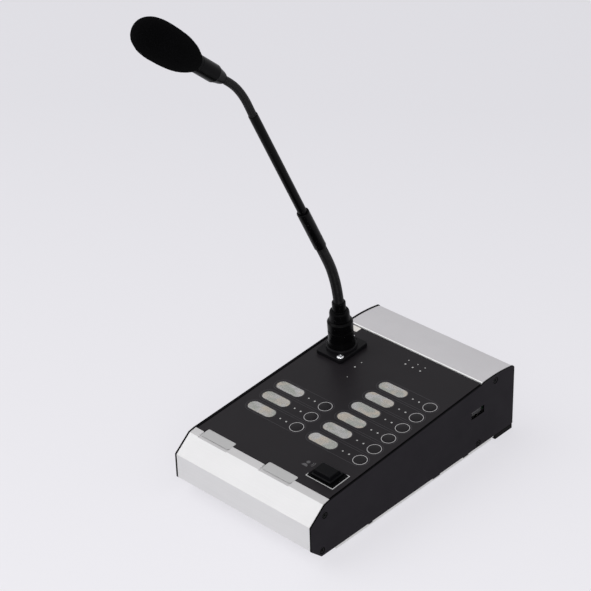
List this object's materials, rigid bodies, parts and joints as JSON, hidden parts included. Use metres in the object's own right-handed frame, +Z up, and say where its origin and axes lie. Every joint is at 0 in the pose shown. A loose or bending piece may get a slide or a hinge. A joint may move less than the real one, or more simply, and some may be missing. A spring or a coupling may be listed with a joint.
{
  "type": "paging microphone",
  "caption": "Desk paging console with a sloped key panel, zone keys, a talk key, removable label strips and a plug-in gooseneck microphone under a foam windscreen.",
  "frame": {"origin": "centre of the bounding box at desk level", "axes": "+Z up, +Y from the user to the back, +X to the user's right"},
  "size_m": [0.1362, 0.2562, 0.3918],
  "materials": {
    "black_paint": "fine satin paint",
    "aluminium": "fine bead-blasted, clear anodised",
    "zinc_steel": "zinc plated",
    "printed_film": "satin printed film",
    "label_card": "blank card",
    "black_plastic": "fine grain",
    "board_green": "solder mask",
    "nickel": "bright nickel",
    "black_anodised": "black anodised, satin",
    "black_steel": "black oxide, satin",
    "foam": "open-cell foam",
    "rubber": "matt"
  },
  "bodies": {
    "console": {"side_plate_left": "black_paint", "side_plate_right": "black_paint", "side_screw_left_rail_upper": "black_steel", "side_screw_left_rail_lower": "black_steel", "side_screw_left_cap": "black_steel", "side_screw_left_tray": "black_steel", "side_screw_right_rail_upper": "black_steel", "side_screw_right_rail_lower": "black_steel", "side_screw_right_cap": "black_steel", "side_screw_right_tray": "black_steel", "front_rail": "aluminium", "rear_cap": "aluminium", "base_tray": "zinc_steel", "foot_front_left": "rubber", "foot_front_right": "rubber", "foot_rear_left": "rubber", "foot_rear_right": "rubber", "panel_film": "printed_film", "key_panel": "black_paint", "talk_key_bezel": "black_plastic", "key_board": "board_green", "mic_socket": "black_anodised", "socket_insert": "black_plastic", "socket_screw_front": "nickel", "socket_screw_rear": "nickel", "main_board": "board_green", "link_socket_in": "black_plastic", "link_socket_out": "black_plastic", "side_header": "black_plastic"},
    "strip_left": {"label_strip_left": "label_card"},
    "strip_right": {"label_strip_right": "label_card"},
    "key_1": {"zone_key_1": "black_plastic"},
    "key_2": {"zone_key_2": "black_plastic"},
    "key_3": {"zone_key_3": "black_plastic"},
    "key_4": {"zone_key_4": "black_plastic"},
    "key_5": {"zone_key_5": "black_plastic"},
    "key_6": {"zone_key_6": "black_plastic"},
    "key_7": {"zone_key_7": "black_plastic"},
    "key_8": {"zone_key_8": "black_plastic"},
    "key_9": {"zone_key_9": "black_plastic"},
    "talk": {"talk_key": "black_plastic"},
    "latch": {"socket_latch": "nickel"},
    "microphone_plug": {"plug_shell": "black_anodised", "plug_insert": "black_plastic", "plug_collet": "black_anodised", "lower_neck_0": "black_steel"},
    "lower_link_1": {"lower_neck_1": "black_steel"},
    "lower_link_2": {"lower_neck_2": "black_steel"},
    "lower_link_3": {"lower_neck_3": "black_steel"},
    "stem": {"lower_neck_4": "black_steel", "neck_sleeve": "black_anodised", "stem_tube": "black_steel", "upper_neck_0": "black_steel"},
    "upper_link_1": {"upper_neck_1": "black_steel"},
    "upper_link_2": {"upper_neck_2": "black_steel"},
    "upper_link_3": {"upper_neck_3": "black_steel"},
    "head": {"upper_neck_4": "black_steel", "capsule_housing": "black_anodised", "mic_capsule": "nickel", "foam_windscreen": "foam"}
  },
  "joints": [
    {"name": "strip_left_pull", "type": "slide", "parent": "console", "child": "strip_left", "axis": [0, -0.9979, -0.0652], "range_m": [0, 0.06]},
    {"name": "strip_right_pull", "type": "slide", "parent": "console", "child": "strip_right", "axis": [0, -0.9979, -0.0652], "range_m": [0, 0.1]},
    {"name": "zone_key_1_press", "type": "slide", "parent": "console", "child": "key_1", "axis": [0, 0.0652, -0.9979], "range_m": [0, 0.0005], "stiffness_N_per_m": 400, "springref_m": -0.001},
    {"name": "zone_key_2_press", "type": "slide", "parent": "console", "child": "key_2", "axis": [0, 0.0652, -0.9979], "range_m": [0, 0.0005], "stiffness_N_per_m": 400, "springref_m": -0.001},
    {"name": "zone_key_3_press", "type": "slide", "parent": "console", "child": "key_3", "axis": [0, 0.0652, -0.9979], "range_m": [0, 0.0005], "stiffness_N_per_m": 400, "springref_m": -0.001},
    {"name": "zone_key_4_press", "type": "slide", "parent": "console", "child": "key_4", "axis": [0, 0.0652, -0.9979], "range_m": [0, 0.0005], "stiffness_N_per_m": 400, "springref_m": -0.001},
    {"name": "zone_key_5_press", "type": "slide", "parent": "console", "child": "key_5", "axis": [0, 0.0652, -0.9979], "range_m": [0, 0.0005], "stiffness_N_per_m": 400, "springref_m": -0.001},
    {"name": "zone_key_6_press", "type": "slide", "parent": "console", "child": "key_6", "axis": [0, 0.0652, -0.9979], "range_m": [0, 0.0005], "stiffness_N_per_m": 400, "springref_m": -0.001},
    {"name": "zone_key_7_press", "type": "slide", "parent": "console", "child": "key_7", "axis": [0, 0.0652, -0.9979], "range_m": [0, 0.0005], "stiffness_N_per_m": 400, "springref_m": -0.001},
    {"name": "zone_key_8_press", "type": "slide", "parent": "console", "child": "key_8", "axis": [0, 0.0652, -0.9979], "range_m": [0, 0.0005], "stiffness_N_per_m": 400, "springref_m": -0.001},
    {"name": "zone_key_9_press", "type": "slide", "parent": "console", "child": "key_9", "axis": [0, 0.0652, -0.9979], "range_m": [0, 0.0005], "stiffness_N_per_m": 400, "springref_m": -0.001},
    {"name": "talk_key_press", "type": "slide", "parent": "console", "child": "talk", "axis": [0, 0.0652, -0.9979], "range_m": [0, 0.002], "stiffness_N_per_m": 500, "springref_m": -0.0015},
    {"name": "latch_press", "type": "slide", "parent": "console", "child": "latch", "axis": [0, 0.0652, -0.9979], "range_m": [0, 0.001], "stiffness_N_per_m": 600, "springref_m": -0.001},
    {"name": "mic_unplug", "type": "slide", "parent": "console", "child": "microphone_plug", "axis": [0, -0.0652, 0.9979], "range_m": [0, 0.018]},
    {"name": "lower_tilt_1", "type": "hinge", "parent": "microphone_plug", "child": "lower_link_1", "pos_m": [-0.0467, 0.05635, 0.10436], "axis": [1, 0, 0], "range_deg": [-20, 20]},
    {"name": "lower_side_1", "type": "hinge", "parent": "lower_link_1", "child": "lower_link_2", "pos_m": [-0.0467, 0.05437, 0.1162], "axis": [0, 0.9659, 0.2588], "range_deg": [-20, 20]},
    {"name": "lower_tilt_2", "type": "hinge", "parent": "lower_link_2", "child": "lower_link_3", "pos_m": [-0.0467, 0.05126, 0.12779], "axis": [1, 0, 0], "range_deg": [-20, 20]},
    {"name": "lower_side_2", "type": "hinge", "parent": "lower_link_3", "child": "stem", "pos_m": [-0.0467, 0.04726, 0.1391], "axis": [0, 0.898, 0.4399], "range_deg": [-20, 20]},
    {"name": "upper_tilt_1", "type": "hinge", "parent": "stem", "child": "upper_link_1", "pos_m": [-0.0467, -0.02898, 0.29473], "axis": [1, 0, 0], "range_deg": [-20, 20]},
    {"name": "upper_side_1", "type": "hinge", "parent": "upper_link_1", "child": "upper_link_2", "pos_m": [-0.0467, -0.03313, 0.30383], "axis": [0, 0.8545, 0.5195], "range_deg": [-20, 20]},
    {"name": "upper_tilt_2", "type": "hinge", "parent": "upper_link_2", "child": "upper_link_3", "pos_m": [-0.0467, -0.03832, 0.31237], "axis": [1, 0, 0], "range_deg": [-20, 20]},
    {"name": "upper_side_2", "type": "hinge", "parent": "upper_link_3", "child": "head", "pos_m": [-0.0467, -0.04466, 0.32011], "axis": [0, 0.6428, 0.766], "range_deg": [-20, 20]}
  ],
  "couplings": [
    {"joint": "lower_tilt_2", "follows": "lower_tilt_1", "ratio": 1},
    {"joint": "lower_side_2", "follows": "lower_side_1", "ratio": 1},
    {"joint": "upper_tilt_2", "follows": "upper_tilt_1", "ratio": 1},
    {"joint": "upper_side_2", "follows": "upper_side_1", "ratio": 1}
  ]
}
